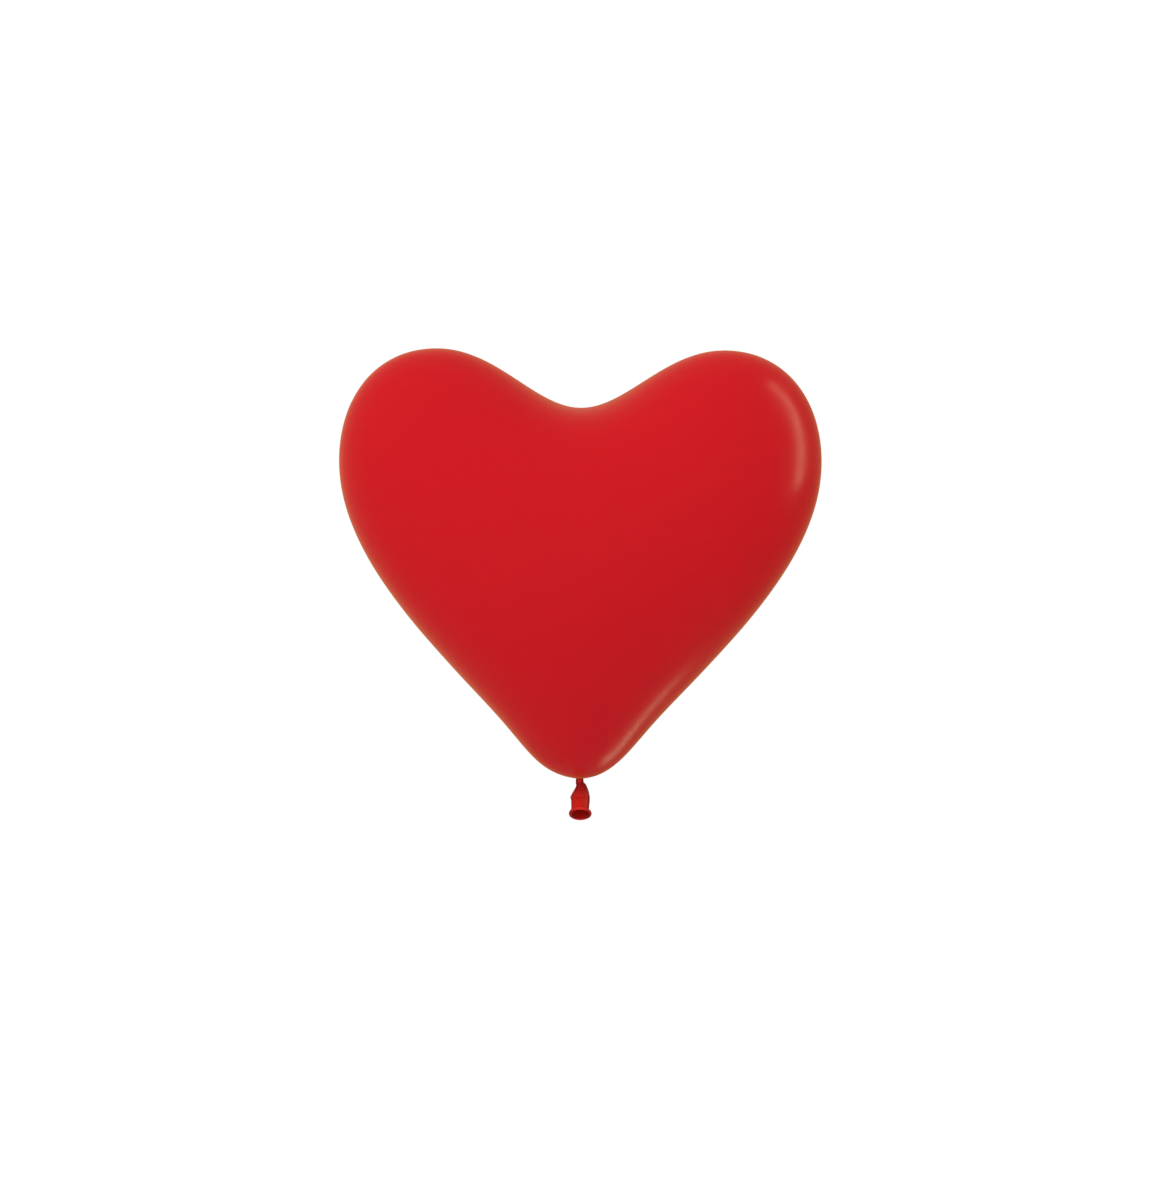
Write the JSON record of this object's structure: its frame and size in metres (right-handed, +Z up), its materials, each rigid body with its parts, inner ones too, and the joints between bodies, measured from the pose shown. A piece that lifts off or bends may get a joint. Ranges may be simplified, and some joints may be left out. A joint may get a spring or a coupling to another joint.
{
  "type": "latex balloon",
  "caption": "Inflated heart-shaped latex balloon in glossy red, tied off at the throat, with a pleated neck, a straight sleeve and a rolled bead round its open mouth.",
  "frame": {"origin": "the underside of the inflated body, where the neck leaves it and a ribbon or stick holds it", "axes": "+Z up through the cleft between the lobes, +X to the right-hand lobe seen from the front, -Y to the front"},
  "size_m": [0.3042, 0.165, 0.2976],
  "materials": {
    "latex_stretched": "gloss",
    "latex_gathered": "satin",
    "latex_wound": "satin",
    "latex_pleated": "satin",
    "latex_relaxed": "satin",
    "latex_rolled": "satin"
  },
  "bodies": {
    "envelope": {"heart_envelope": "latex_stretched"},
    "knot": {"throat_core": "latex_gathered", "knot_wrap": "latex_wound"},
    "gather": {"neck_gather": "latex_pleated"},
    "tail": {"neck_sleeve": "latex_relaxed", "rolled_bead": "latex_rolled"}
  },
  "joints": [
    {"name": "neck_twist", "type": "hinge", "parent": "envelope", "child": "knot", "pos_m": [0, 0, -0.00211], "axis": [0, 0, 1], "range_deg": [-90, 90], "stiffness_Nm_per_rad": 0.0001},
    {"name": "tail_sway", "type": "hinge", "parent": "knot", "child": "gather", "pos_m": [0, 0, -0.00211], "axis": [0, 1, 0], "range_deg": [-35, 35], "stiffness_Nm_per_rad": 0.0003},
    {"name": "sleeve_fold", "type": "hinge", "parent": "gather", "child": "tail", "pos_m": [0, 0, -0.0123], "axis": [1, 0, 0], "range_deg": [-8, 60], "stiffness_Nm_per_rad": 0.0002}
  ]
}
